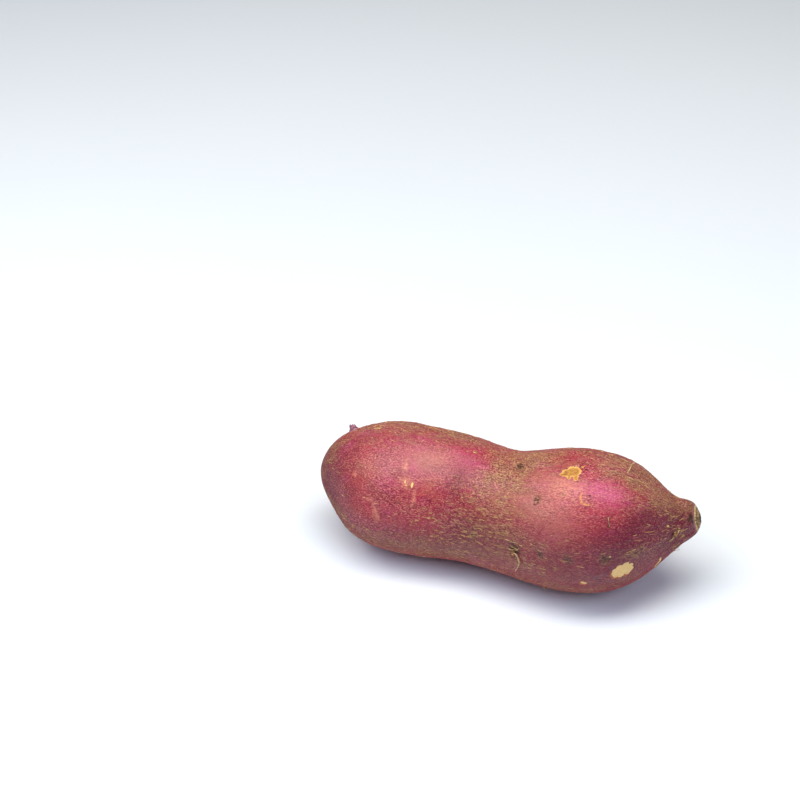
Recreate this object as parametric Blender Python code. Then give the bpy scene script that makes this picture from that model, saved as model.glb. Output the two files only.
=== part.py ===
"""A sweet potato lying on its side: one tuber with a blunt root end, a waist and a cut neck.

Metres, +Z up. X runs from the root end to the cut neck, and Z = 0 is the surface the tuber lies on.
The origin is on that surface, under the middle of the tuber's box.

The skin is one loft along a bent spine. A place on it is given by its distance along the spine from
the root end and its angle round it, where 0 degrees faces -Y and 90 degrees faces up.
"""

import math

import bmesh
import bpy
import numpy as np
from mathutils import Vector, noise

MM = 0.001

# Sections of the body from the root end to the cut neck, in millimetres:
# x, y and z of the section's centre, then half its width and half its height
SECTIONS = (
    (-80.6, 5.0, 29.0, 24.5, 24.5),
    (-65.8, 4.9, 29.2, 26.9, 26.7),
    (-49.3, 3.7, 27.8, 27.9, 27.5),
    (-33.3, 3.5, 27.1, 27.9, 27.5),
    (-15.3, 2.5, 26.8, 26.2, 26.2),
    (2.7, -0.2, 26.8, 26.0, 26.0),
    (22.7, -1.3, 28.3, 29.2, 28.9),
    (39.7, -1.0, 29.8, 29.8, 29.6),
    (55.7, 1.2, 31.2, 24.4, 24.4),
    (68.2, 3.6, 32.2, 13.7, 13.7),
    (75.2, 5.3, 33.2, 8.3, 8.3),
    (79.8, 6.0, 34.0, 6.0, 6.0),
)
ROOT_CAP = 36.0 * MM  # how far the rounding of the root end reaches along the spine
CAP_POWER = 1.9  # 2 would be an ellipse, and more is blunter

# The cut across the neck leans a little: how far it goes along the spine for each millimetre up and out
CUT_RISE = -0.1
CUT_FRONT = -0.06
CUT_REACH = 10.0 * MM  # how much of the neck leans with it
CUT_ROUND = (2.0 * MM, 0.9 * MM)  # the skin rounds in behind the cut: over this length, and by this much
# Rings of the domed cut face: their share of the rim's radius, and their height above it in millimetres
CUT_FACE = ((0.92, 0.3), (0.78, 0.75), (0.6, 0.95), (0.42, 1.4), (0.2, 1.45))
CUT_MIDDLE = 1.15 * MM  # the pith at the middle of the cut, which has dried and sunk a little
COLLAR = (3.0 * MM, 2.2 * MM, 0.45 * MM)  # swelling behind the cut: distance from it, reach and height

# Low relief over the whole skin
LUMP_SIZE = 24.0 * MM
LUMP_HEIGHT = 0.8 * MM
LUMP_SEED = 7.3
WANDER_SEED = 31.9  # ribs and furrows wander off straight by a second noise of the same size
RIBS = 5  # rows of root eyes, with a soft rib between them
RIB_HEIGHT = 0.3 * MM
RIB_START = math.radians(8.0)  # the row that faces the front
FURROWS = 9  # wrinkles that draw together at the neck
FURROW_DEPTH = 0.35 * MM
FURROW_WANDER = 3.0
FURROW_START = (112.0 * MM, 142.0 * MM)  # they deepen between these distances along the spine
FURROW_END_SHARE = 0.4  # their depth at the cut, against their full depth

# Eyes, where a root grew: distance along the spine in millimetres, angle in degrees, radius and depth
EYES = (
    (89.1, 88.0, 3.2, 0.6),
    (100.1, 54.0, 3.0, 0.3),
    (76.8, 10.0, 3.0, 0.4),
    (92.4, 7.0, 3.6, 0.8),
    (103.0, 8.0, 3.2, 0.4),
    (113.4, 8.0, 3.2, 0.4),
    (125.3, 9.0, 3.6, 0.5),
    (152.0, 16.0, 2.2, 0.8),
    (28.0, 150.0, 3.4, 0.6),
    (55.0, 156.0, 3.2, 0.5),
    (83.0, 149.0, 3.6, 0.7),
    (109.0, 160.0, 3.2, 0.5),
    (131.0, 152.0, 3.0, 0.6),
    (38.0, 226.0, 3.2, 0.5),
    (66.0, 219.0, 3.6, 0.7),
    (97.0, 231.0, 3.4, 0.5),
    (122.0, 222.0, 3.2, 0.6),
    (24.0, 300.0, 3.2, 0.5),
    (60.0, 295.0, 3.2, 0.5),
    (118.0, 304.0, 3.4, 0.5),
    (140.0, 290.0, 2.6, 0.6),
)
BROW_SHARE = 0.45  # height of the fold on the neck side of an eye, against the eye's depth
BROW_WIDTH = 1.5  # width of the fold against its length, which is half the eye's radius

# Scars where the skin was rubbed off: distance along and angle as above, then half length and half width
SCARS = (
    (111.4, 81.0, 4.3, 3.2),
    (131.2, -4.8, 4.0, 3.4),
    (118.4, -15.5, 1.6, 1.3),
    (118.3, 59.5, 3.1, 3.3),
)
SCAR_DEPTH = 0.25 * MM
SCAR_EDGE = (1.25, 0.85)  # the skin ends between these shares of a scar's size

# Broken roots: place as above, then radius, length and how far it leans to the neck and round the body
TAIL = (12.0, 113.0, 1.7, 2.2, -0.1, 0.1)
ROOTS = (
    (133.8, 90.0, 0.4, 4.0, 0.2, 1.3),
    (151.8, 14.0, 0.8, 1.8, -0.3, -0.6),
    (103.2, -38.0, 0.9, 0.8, 0.2, 0.0),
    (92.0, 3.0, 0.7, 1.8, 0.3, -0.9),
    (83.2, 149.0, 0.8, 3.2, -0.4, 0.5),
    (131.2, 152.0, 0.7, 2.4, 0.5, 0.3),
    (66.2, 219.0, 0.8, 2.6, 0.3, -0.6),
    (122.2, 222.0, 0.7, 2.0, -0.5, -0.4),
    (28.2, 150.0, 0.7, 2.8, -0.6, 0.4),
    (140.2, 290.0, 0.7, 1.6, 0.6, 0.2),
)
ROOT_SUNK = 2.0 * MM  # how deep a root starts under the skin
ROOT_SIDES = 8
ROOT_TAPER = 0.6
TIP_RIM = 0.3  # width of the rim left round the tail's hollow tip, against its radius
TIP_HOLLOW = 0.4  # depth of that hollow, against the same

# The mesh of the body
RINGS_IN_CAP = 18
RINGS_ON_BODY = 68
RINGS_AT_CUT = 4
AROUND = 60

# Colour and roughness of the skin and of the flesh at the cut
SKIN_COLOUR = (0.39, 0.11, 0.12, 1.0)
SKIN_ROUGHNESS = 0.5
FLESH_COLOUR = (0.42, 0.28, 0.13, 1.0)
FLESH_ROUGHNESS = 0.75
SHARP_ANGLE = math.radians(40.0)


def natural_spline(values, at):
    """Values at 0, 1, 2 and so on, read anywhere between through a natural cubic spline."""
    count = len(values)
    system = np.zeros((count, count))
    right = np.zeros_like(values)
    system[0, 0] = system[-1, -1] = 1.0
    for i in range(1, count - 1):
        system[i, i - 1 : i + 2] = 1.0, 4.0, 1.0
        right[i] = 6.0 * (values[i - 1] - 2.0 * values[i] + values[i + 1])
    bend = np.linalg.solve(system, right)
    low = np.clip(at.astype(int), 0, count - 2)
    b = (at - low)[:, None]
    a = 1.0 - b
    curved = ((a**3 - a) * bend[low] + (b**3 - b) * bend[low + 1]) / 6.0
    return a * values[low] + b * values[low + 1] + curved


class Spine:
    """The line through the sections' centres, read by distance along it in metres."""

    STEPS = 600

    def __init__(self, sections):
        at = np.linspace(0.0, len(sections) - 1.0, self.STEPS)
        self.rows = natural_spline(np.array(sections) * MM, at)
        steps = np.linalg.norm(np.diff(self.rows[:, :3], axis=0), axis=1)
        self.along = np.concatenate([[0.0], np.cumsum(steps)])
        self.length = self.along[-1]
        self.tangents = np.gradient(self.rows[:, :3], self.along, axis=0)

    def read(self, table, along):
        return np.stack([np.interp(along, self.along, column) for column in table.T], axis=-1)

    def frame(self, along):
        """Centre, tangent, front and up vectors, and half width and half height, at these distances."""
        row = self.read(self.rows, along)
        tangent = unit(self.read(self.tangents, along))
        front = unit(np.cross(tangent, [0.0, 0.0, 1.0]))
        up = np.cross(front, tangent)
        return row[..., :3], tangent, front, up, row[..., 3], row[..., 4]


def unit(vectors):
    return vectors / np.linalg.norm(vectors, axis=-1, keepdims=True)


def smooth_step(start, end, value):
    share = np.clip((value - start) / (end - start), 0.0, 1.0)
    return share * share * (3.0 - 2.0 * share)


def noise_over(points, size, offset):
    """Smooth noise between about -1 and 1 whose lumps have this size."""
    flat = points.reshape(-1, 3) / size + offset
    return np.array([noise.noise(Vector(point)) for point in flat]).reshape(points.shape[:-1])


def rounding(along):
    """The share of a section's size left at this distance from the root end."""
    inward = np.clip(1.0 - along / ROOT_CAP, 0.0, 1.0)
    return (1.0 - inward**CAP_POWER) ** (1.0 / CAP_POWER)


def apart(along, angle, radius, place):
    """Distances along and round the skin from a place given in millimetres and degrees."""
    turn = (angle - math.radians(place[1]) + math.pi) % (2.0 * math.pi) - math.pi
    return along - place[0] * MM, radius * turn


def relief(points, along, angle, radius, length):
    """Height of the skin's relief over its plain sections, in metres."""
    height = LUMP_HEIGHT * noise_over(points, LUMP_SIZE, LUMP_SEED)
    wander = noise_over(points, LUMP_SIZE, WANDER_SEED)
    height -= RIB_HEIGHT * np.cos(RIBS * (angle - RIB_START) + wander)
    gathered = smooth_step(*FURROW_START, along)
    gathered *= 1.0 - (1.0 - FURROW_END_SHARE) * smooth_step(length - CUT_REACH, length, along)
    height -= FURROW_DEPTH * gathered * np.cos(FURROWS * angle + FURROW_WANDER * wander)
    for place in EYES:
        size = place[2] * MM
        depth = place[3] * MM
        ahead, aside = apart(along, angle, radius, place)
        height -= depth * np.exp(-(ahead**2 + aside**2) / size**2)
        brow = np.exp(-((ahead - size) ** 2 + (aside / BROW_WIDTH) ** 2) / (0.5 * size) ** 2)
        height += BROW_SHARE * depth * brow
    for place in SCARS:
        ahead, aside = apart(along, angle, radius, place)
        away = np.hypot(ahead / place[2], aside / place[3]) / MM
        height -= SCAR_DEPTH * smooth_step(*SCAR_EDGE, away)
    behind_cut, reach, swelling = COLLAR
    height += swelling * np.exp(-(((length - along - behind_cut) / reach) ** 2))
    rounded_over, rounded_by = CUT_ROUND
    share = np.clip(1.0 - (length - along) / rounded_over, 0.0, 1.0)
    height -= rounded_by * (1.0 - np.sqrt(1.0 - share**2))
    return height


def skin(spine, along, angle):
    """Points of the skin at these distances and angles, flat where the tuber rests."""
    centre, tangent, front, up, half_width, half_height = spine.frame(along)
    cap = rounding(along)
    out = front * np.cos(angle)[..., None] + up * np.sin(angle)[..., None]
    across = half_width * cap * np.cos(angle)
    high = half_height * cap * np.sin(angle)
    plain = centre + front * across[..., None] + up * high[..., None]
    radius = 0.5 * (half_width + half_height) * cap
    height = cap * relief(plain, along, angle, radius, spine.length)
    near_cut = smooth_step(spine.length - CUT_REACH, spine.length, along)
    lean = near_cut * (CUT_RISE * high + CUT_FRONT * across)
    points = plain + out * height[..., None] + tangent * lean[..., None]
    points[..., 2] = np.maximum(points[..., 2], 0.0)
    return points


def skin_frame(spine, along, angle):
    """A point of the skin with its normal, the way to the neck and the way round."""
    step = 0.5 * MM
    turn = math.radians(1.0)
    here = np.array([along, along + step, along])
    there = np.array([angle, angle, angle + turn])
    point, ahead, aside = skin(spine, here, there)
    ahead = unit(ahead - point)
    aside = unit(aside - point)
    return point, unit(np.cross(ahead, aside)), ahead, aside


def ring_distances(spine):
    """Where the rings lie along the spine, closest together at the rounded root end and at the cut."""
    turn = np.linspace(0.0, math.pi / 2.0, RINGS_IN_CAP + 1)
    cap = ROOT_CAP * (1.0 - np.cos(turn))
    neck_end = spine.length - CUT_ROUND[0]
    body = np.linspace(ROOT_CAP, neck_end, RINGS_ON_BODY + 1)
    turn = np.linspace(0.0, math.pi / 2.0, RINGS_AT_CUT + 1)
    rim = neck_end + CUT_ROUND[0] * np.sin(turn)
    return np.concatenate([cap[1:], body[1:], rim[1:]])


def cut_face_rings(spine, rim):
    """Rings inside the rim of the cut, and the point at its middle."""
    middle = rim.mean(axis=0)
    tangent = spine.frame(spine.length)[1]
    rings = [middle + share * (rim - middle) + tangent * height * MM for share, height in CUT_FACE]
    return rings, middle + tangent * CUT_MIDDLE


def tuber_mesh(name, spine):
    """The closed skin with the cut face, as a loft of rings from the root end to the middle of the cut."""
    angles = np.arange(AROUND) * (2.0 * math.pi / AROUND)
    along, angle = np.meshgrid(ring_distances(spine), angles, indexing="ij")
    points = skin(spine, along, angle)
    cut_rings, cut_middle = cut_face_rings(spine, points[-1])
    bm = bmesh.new()
    first = bm.verts.new(skin(spine, np.zeros(1), np.zeros(1))[0])
    last = bm.verts.new(cut_middle)
    rings = [[bm.verts.new(point) for point in ring] for ring in (*points, *cut_rings)]
    for i in range(AROUND):
        j = (i + 1) % AROUND
        bm.faces.new((first, rings[0][i], rings[0][j]))
        for k, (before, after) in enumerate(zip(rings, rings[1:])):
            face = bm.faces.new((before[i], after[i], after[j], before[j]))
            face.material_index = 0 if k < len(points) - 1 else 1
        bm.faces.new((rings[-1][i], last, rings[-1][j])).material_index = 1
    bmesh.ops.recalc_face_normals(bm, faces=bm.faces)
    mesh = bpy.data.meshes.new(name)
    bm.to_mesh(mesh)
    bm.free()
    return mesh


def root_mesh(name, spine, root, hollow_tip):
    """One broken root: a tapered stub that starts under the skin and leans as its numbers say."""
    along, angle, radius, length, to_neck, to_side = root
    point, normal, ahead, aside = skin_frame(spine, along * MM, math.radians(angle))
    way = unit(normal + to_neck * ahead + to_side * aside)
    height = length * MM + ROOT_SUNK
    bm = bmesh.new()
    bmesh.ops.create_cone(
        bm,
        cap_ends=True,
        segments=ROOT_SIDES,
        radius1=radius * MM,
        radius2=ROOT_TAPER * radius * MM,
        depth=height,
    )
    if hollow_tip:
        top = max(bm.faces, key=lambda face: face.calc_center_median().z)
        bmesh.ops.inset_region(bm, faces=[top], thickness=TIP_RIM * radius * MM)
        bmesh.ops.translate(bm, verts=top.verts, vec=(0.0, 0.0, -TIP_HOLLOW * radius * MM))
    bmesh.ops.rotate(bm, verts=bm.verts, matrix=Vector(way).to_track_quat("Z", "Y").to_matrix())
    bmesh.ops.translate(bm, verts=bm.verts, vec=Vector(point + way * (height / 2.0 - ROOT_SUNK)))
    mesh = bpy.data.meshes.new(name)
    bm.to_mesh(mesh)
    bm.free()
    return mesh


def plain_material(name, colour, roughness):
    material = bpy.data.materials.new(name)
    material.use_nodes = True
    shader = material.node_tree.nodes["Principled BSDF"]
    shader.inputs["Base Color"].default_value = colour
    shader.inputs["Roughness"].default_value = roughness
    return material


def new_collection(name):
    collection = bpy.data.collections.new(name)
    bpy.context.scene.collection.children.link(collection)
    return collection


def join_roots(tuber, roots):
    """Join the roots to the tuber with one union, and remove them as objects of their own."""
    union = tuber.modifiers.new("join_roots", "BOOLEAN")
    union.operation = "UNION"
    union.solver = "EXACT"
    union.operand_type = "COLLECTION"
    union.collection = roots
    joined = bpy.data.meshes.new_from_object(tuber.evaluated_get(bpy.context.evaluated_depsgraph_get()))
    tuber.modifiers.remove(union)
    tuber.data = joined
    joined.name = "tuber"
    for root in list(roots.objects):
        bpy.data.objects.remove(root)
    bpy.data.collections.remove(roots)


def main():
    for obj in list(bpy.data.objects):
        bpy.data.objects.remove(obj)
    parts = new_collection("sweet_potato")
    roots = new_collection("roots_to_join")
    skin_material = plain_material("skin", SKIN_COLOUR, SKIN_ROUGHNESS)
    flesh_material = plain_material("flesh", FLESH_COLOUR, FLESH_ROUGHNESS)
    spine = Spine(SECTIONS)

    tuber = bpy.data.objects.new("tuber", tuber_mesh("tuber", spine))
    tuber.data.materials.append(skin_material)
    tuber.data.materials.append(flesh_material)
    parts.objects.link(tuber)
    for i, root in enumerate((TAIL, *ROOTS)):
        mesh = root_mesh(f"root_{i}", spine, root, hollow_tip=root is TAIL)
        mesh.materials.append(skin_material)
        roots.objects.link(bpy.data.objects.new(f"root_{i}", mesh))
    join_roots(tuber, roots)
    tuber.data.shade_smooth()
    tuber.data.set_sharp_from_angle(angle=SHARP_ANGLE)


main()
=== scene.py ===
"""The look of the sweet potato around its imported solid: skin, scars, broken roots, rootlets and cut neck.

Metres, +Z up, in the solid's frame: X runs from the root end to the cut neck, and Z = 0 is the surface
that it lies on. A place on the skin is given by its distance along the spine from the root end, in
millimetres, and its angle round it in degrees, where 0 faces -Y and 90 faces up.
"""

import math
import random
from functools import reduce

import bmesh
import bpy
import numpy as np
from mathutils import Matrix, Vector, noise


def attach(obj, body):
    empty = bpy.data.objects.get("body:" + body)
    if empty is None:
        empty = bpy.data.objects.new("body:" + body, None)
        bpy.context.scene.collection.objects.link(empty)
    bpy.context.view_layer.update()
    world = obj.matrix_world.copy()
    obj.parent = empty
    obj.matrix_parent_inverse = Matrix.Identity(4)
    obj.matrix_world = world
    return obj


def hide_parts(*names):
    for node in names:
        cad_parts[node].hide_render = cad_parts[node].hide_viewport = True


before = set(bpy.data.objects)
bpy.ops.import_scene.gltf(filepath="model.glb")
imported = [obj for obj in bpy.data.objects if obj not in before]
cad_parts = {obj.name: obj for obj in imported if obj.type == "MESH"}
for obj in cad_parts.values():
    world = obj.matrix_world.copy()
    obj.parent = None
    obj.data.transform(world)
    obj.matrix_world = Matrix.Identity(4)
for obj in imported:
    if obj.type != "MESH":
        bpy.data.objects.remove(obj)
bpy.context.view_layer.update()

MM = 0.001

# Sections of the body, as in the solid: x, y and z of the centre, half width and half height
SECTIONS = (
    (-80.6, 5.0, 29.0, 24.5, 24.5),
    (-65.8, 4.9, 29.2, 26.9, 26.7),
    (-49.3, 3.7, 27.8, 27.9, 27.5),
    (-33.3, 3.5, 27.1, 27.9, 27.5),
    (-15.3, 2.5, 26.8, 26.2, 26.2),
    (2.7, -0.2, 26.8, 26.0, 26.0),
    (22.7, -1.3, 28.3, 29.2, 28.9),
    (39.7, -1.0, 29.8, 29.8, 29.6),
    (55.7, 1.2, 31.2, 24.4, 24.4),
    (68.2, 3.6, 32.2, 13.7, 13.7),
    (75.2, 5.3, 33.2, 8.3, 8.3),
    (79.8, 6.0, 34.0, 6.0, 6.0),
)
ROOT_CAP = 36.0 * MM
CAP_POWER = 1.9

# The cut across the neck, as in the solid
CUT_RISE = -0.1
CUT_FRONT = -0.06
CUT_REACH = 10.0 * MM
CUT_ROUND = (2.0 * MM, 0.9 * MM)
COLLAR = (3.0 * MM, 2.2 * MM, 0.45 * MM)
# Its domed face: share of the rim's radius and height above it in millimetres, from the rim inwards
CUT_FACE = (
    (0.985, -0.12),
    (0.96, 0.08),
    (0.92, 0.3),
    (0.85, 0.55),
    (0.78, 0.75),
    (0.69, 0.82),
    (0.6, 0.95),
    (0.5, 1.25),
    (0.42, 1.4),
    (0.3, 1.5),
    (0.2, 1.4),
    (0.12, 1.05),
)
CUT_MIDDLE = 0.8 * MM
CUT_UNEVEN = 0.3 * MM
CUT_EDGE = 0.9 * MM  # how far the pale dried edge of the skin reaches from the cut

# Low relief, as in the solid
LUMP_SIZE = 24.0 * MM
LUMP_HEIGHT = 0.8 * MM
LUMP_SEED = 7.3
WANDER_SEED = 31.9
RIBS = 5
RIB_HEIGHT = 0.3 * MM
RIB_START = math.radians(8.0)
FURROWS = 9
FURROW_DEPTH = 0.35 * MM
FURROW_WANDER = 3.0
FURROW_START = (112.0 * MM, 142.0 * MM)
FURROW_END_SHARE = 0.4

# Finer relief, which only the scene has: sizes of its lumps in millimetres, with their seeds, then heights
PEBBLES = (2.0, 11.0)
DENTS = (6.5, 3.7)
WRINKLES = (1.9, 5.0)
WRINKLE_STRETCH = np.array([6.0, 1.0, 1.0])
PEBBLE_HEIGHT = 0.07
DENT_HEIGHT = 0.14
WRINKLE_HEIGHT = 0.05
TIGHT_WRINKLE_HEIGHT = 0.24
TIGHT_AT_NECK = (112.0 * MM, 146.0 * MM)
TIGHT_AT_ROOT = (16.0 * MM, 4.0 * MM)
ROOT_TIGHTNESS = 0.6
SMOOTH_TIP = 4.0 * MM
STROKE_RADIUS = 27.0 * MM
STROKE_POWER = 0.4  # how far the strokes' pattern narrows with the body: at 0 they run with its length

# Eyes, as in the solid: distance along, angle, radius and depth
EYES = (
    (89.1, 88.0, 3.2, 0.6),
    (100.1, 54.0, 3.0, 0.3),
    (76.8, 10.0, 3.0, 0.4),
    (92.4, 7.0, 3.6, 0.8),
    (103.0, 8.0, 3.2, 0.4),
    (113.4, 8.0, 3.2, 0.4),
    (125.3, 9.0, 3.6, 0.5),
    (152.0, 16.0, 2.2, 0.8),
    (28.0, 150.0, 3.4, 0.6),
    (55.0, 156.0, 3.2, 0.5),
    (83.0, 149.0, 3.6, 0.7),
    (109.0, 160.0, 3.2, 0.5),
    (131.0, 152.0, 3.0, 0.6),
    (38.0, 226.0, 3.2, 0.5),
    (66.0, 219.0, 3.6, 0.7),
    (97.0, 231.0, 3.4, 0.5),
    (122.0, 222.0, 3.2, 0.6),
    (24.0, 300.0, 3.2, 0.5),
    (60.0, 295.0, 3.2, 0.5),
    (118.0, 304.0, 3.4, 0.5),
    (140.0, 290.0, 2.6, 0.6),
)
BROW_SHARE = 0.45
BROW_WIDTH = 1.5

# Broken roots, as in the solid: place, radius, length and how far each leans to the neck and round the body.
# The solid has one more, at 133.8 and 90, which is the stick here.
TAIL = (12.0, 113.0, 1.7, 2.2, -0.1, 0.1)
ROOTS = (
    (151.8, 14.0, 0.8, 1.8, -0.3, -0.6),
    (103.2, -38.0, 0.9, 0.8, 0.2, 0.0),
    (92.0, 3.0, 0.7, 1.8, 0.3, -0.9),
    (83.2, 149.0, 0.8, 3.2, -0.4, 0.5),
    (131.2, 152.0, 0.7, 2.4, 0.5, 0.3),
    (66.2, 219.0, 0.8, 2.6, 0.3, -0.6),
    (122.2, 222.0, 0.7, 2.0, -0.5, -0.4),
    (28.2, 150.0, 0.7, 2.8, -0.6, 0.4),
    (140.2, 290.0, 0.7, 1.6, 0.6, 0.2),
)
ROOT_SUNK = 2.0 * MM

# Scars where the skin was rubbed off, as joined ellipses: distance along, angle, half length and half width
GOLD_SCAR = (
    (112.6, 82.6, 2.9, 2.7),
    (110.6, 80.8, 2.6, 2.1),
    (108.4, 78.8, 1.3, 0.7),
    (111.2, 76.4, 0.6, 1.1),
    (113.9, 76.4, 0.9, 1.6),
    (115.9, 88.2, 0.7, 0.5),
    (62.0, 238.0, 2.4, 1.8),
    (64.0, 241.0, 1.4, 1.6),
)
CREAM_SCAR = (
    (131.2, -5.0, 3.0, 2.5),
    (128.3, -6.2, 1.0, 1.1),
    (128.8, -9.4, 1.0, 0.9),
    (130.6, -10.6, 1.1, 0.9),
    (133.0, -10.0, 1.1, 0.9),
    (134.4, -6.8, 0.9, 1.0),
    (134.2, -2.6, 1.0, 1.1),
    (132.6, 0.4, 1.1, 0.9),
    (130.2, -0.6, 1.0, 0.8),
    (128.6, -3.2, 0.9, 0.9),
    (118.5, -15.2, 0.9, 0.7),
    (117.8, -14.4, 0.6, 0.5),
    (98.0, 172.0, 1.3, 0.8),
    (99.3, 173.6, 0.9, 1.2),
    (20.0, 214.0, 1.0, 0.6),
)
RING_SCAR = (119.2, 59.0, 3.0, 3.3)
RING_SCAR_OPEN = (120.6, 62.4, 3.2, 3.8)  # what this ellipse covers of the ring isn't there
RING_LINE = (0.85, 0.15)  # middle and half width of its line, as shares of the ellipse
# A cream scar's orange rim on its lower, root-end side is painted shade of its sunken edge
RIM_SHIFT = (0.5, 1.3)  # how far a cream scar's brown rim lies towards the root end and round, mm and degrees
SCAR_DEPTH = 0.25 * MM
DARK_MARK_DEPTH = 0.18 * MM
FLECK_HEIGHT = 0.08 * MM
SCAR_RAGGED = 0.09  # how far noise moves a scar's edge, against the scar's size
FAR_OUTSIDE = 9.0  # a scar's field where there is no scar

# Small pale marks, grazes, small dark marks and bruises: distance along, angle, half length and half width
FLECKS = (
    (44.9, 45.0, 0.5, 1.2),
    (42.4, 43.4, 0.9, 0.3),
    (41.6, 46.6, 0.3, 0.9),
    (149.0, 33.2, 0.55, 0.5),
    (126.9, 11.6, 0.5, 0.4),
    (145.9, -19.0, 0.35, 1.2),
    (145.2, -23.5, 0.8, 0.6),
    (144.0, -28.0, 0.35, 1.3),
    (66.6, 91.0, 0.9, 0.35),
)
GRAZES = (
    (42.0, 46.0, 2.6, 2.2),
    (30.6, 20.5, 0.7, 2.0),
    (31.4, 15.0, 0.7, 2.0),
    (32.8, 9.5, 0.6, 2.2),
    (28.6, 24.0, 1.6, 0.8),
    (40.0, 60.0, 1.0, 2.6),
    (46.5, 33.0, 0.8, 3.4),
    (20.0, 43.0, 1.0, 1.4),
    (111.0, 66.0, 6.0, 4.0),
    (100.6, 54.0, 1.6, 1.2),
)
DARK_MARKS = (
    (117.6, 85.4, 1.1, 0.45),
    (116.8, 91.5, 1.0, 0.35),
    (126.4, 43.5, 0.3, 1.3),
    (126.6, 38.5, 0.35, 1.3),
    (106.2, -21.0, 0.8, 0.25),
    (107.6, -23.8, 0.9, 0.3),
    (151.1, 15.5, 0.9, 0.8),
    (160.4, 47.0, 0.9, 1.2),
    (159.4, 38.0, 0.9, 0.7),
    (161.0, 30.0, 0.6, 1.0),
    (93.2, 7.0, 1.3, 0.9),
    (93.4, 3.4, 1.1, 0.5),
    (136.2, 10.5, 0.7, 0.5),
    (138.6, 13.0, 0.8, 0.4),
    (126.8, 8.6, 0.6, 0.5),
    (90.0, 88.0, 1.2, 0.4),
    (88.3, 90.0, 0.7, 0.5),
    (100.4, 54.5, 0.7, 0.4),
    (99.5, 50.5, 0.6, 0.4),
    (101.2, 47.0, 0.5, 0.3),
    (119.4, 57.0, 0.5, 0.4),
    (117.8, 55.5, 0.45, 0.4),
    (119.8, 61.0, 0.4, 0.6),
)
BRUISES = (
    (122.3, -8.0, 1.1, 1.0),
    (125.0, -5.0, 0.8, 0.8),
    (127.3, 0.0, 0.8, 0.8),
    (58.0, 205.0, 2.0, 1.6),
)
HIDDEN_MARKS = 34  # more small marks, scattered on the sides that the photograph hides
HIDDEN_SEED = 5
HIDDEN_ALONG = (12.0, 150.0)
HIDDEN_ANGLES = (125.0, 330.0)
HIDDEN_LENGTHS = (0.4, 1.3)
HIDDEN_WIDTHS = (0.35, 0.8)

# Broad colour patches of the skin: distance along, angle, half length, half width and strength
RUSSET = (
    (88, 95, 15, 13, 0.9),
    (84, 58, 12, 15, 0.95),
    (78, 22, 12, 10, 0.35),
    (12, -10, 9, 3, 0.8),
    (66, -20, 32, 8, 0.65),
    (30, -24, 22, 8, 0.6),
    (97, 5, 14, 10, 0.3),
    (100, 104, 14, 7, 0.6),
    (26, 112, 24, 12, 0.9),
    (58, 112, 16, 9, 0.8),
    (134, 92, 14, 10, 0.9),
    (148, 80, 12, 8.5, 0.9),
    (158, 92, 6, 5, 0.8),
    (126, 114, 20, 9, 0.7),
    (136, 12, 6, 3, 0.8),
    (3, 70, 6, 14, 0.5),
    (114, -32, 24, 7, 0.6),
    (92, 180, 18, 16, 0.8),
    (140, 170, 14, 12, 0.7),
    (40, 190, 20, 10, 0.5),
    (80, 250, 16, 14, 0.6),
    (128, 250, 14, 10, 0.5),
)
CRIMSON = (
    (66, 86, 9, 4.5, 0.9),
    (111, 104, 8, 4.5, 0.9),
    (52, 20, 14, 11, 0.8),
    (18, 20, 14, 14, 0.4),
    (116, 30, 12, 9, 0.8),
    (157, 24, 7, 6, 1.0),
    (60, 190, 14, 10, 0.6),
    (116, 190, 12, 10, 0.5),
)
# Bright magenta patches: partly the skin's own colour, partly painted highlight along the lit tops of the
# lobes
MAGENTA_AND_HIGHLIGHT_PATCHES = (
    (128.5, 64, 8, 6, 0.75),
    (116, 68, 9, 4.5, 0.6),
    (64, 78, 10, 5, 0.6),
    (46, 74, 9, 6, 0.4),
    (84, 26, 3, 2.4, 0.5),
    (70, 170, 9, 7, 0.6),
    (122, 215, 8, 6, 0.5),
)
PURPLE = (
    (151, 10, 10, 14, 1.0),
    (137, 32, 10, 9, 0.9),
    (144, 44, 8, 6, 0.6),
    (132, -4, 12, 12, 0.4),
    (126, -20, 16, 10, 0.25),
    (124, 22, 9, 7, 0.5),
    (158, 40, 6, 6, 0.7),
    (72, 0, 10, 9, 0.4),
    (150, 200, 12, 14, 0.7),
    # These two darken the root end: painted shade, partly the skin's own purple
    (4, 0, 12, 22, 0.8),
    (10, -40, 16, 16, 0.6),
)
# Pale tawny pink patches: partly the skin's own paler tone, partly painted highlight where the lobes' tops
# face the overhead light
TAWNY_AND_HIGHLIGHT_PATCHES = (
    (100, 45, 12, 11, 0.8),
    (112, 30, 8, 8, 0.6),
    (50, 72, 12, 7, 1.0),
    (104, 74, 8, 5, 0.6),
    (26, 48, 10, 9, 0.5),
    (44, 200, 12, 9, 0.6),
    (112, 170, 12, 9, 0.6),
)
# Dusky patches, mostly low on the front, under the body and at both ends: painted shade, partly the skin's
# own duller tone
DUSKY_AND_SHADE_PATCHES = (
    (4, 14, 14, 28, 1.0),
    (30, -18, 20, 10, 0.6),
    (60, -12, 22, 11, 0.8),
    (65, 56, 5, 9, 0.7),
    (78, 18, 15, 11, 0.8),
    (100, -10, 20, 18, 0.6),
    (118, 8, 20, 12, 0.5),
    (128, -26, 18, 14, 0.6),
    (134, 14, 10, 10, 0.6),
    (156, 20, 8, 10, 1.0),
    (75, 270, 50, 12, 0.6),
)

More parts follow.
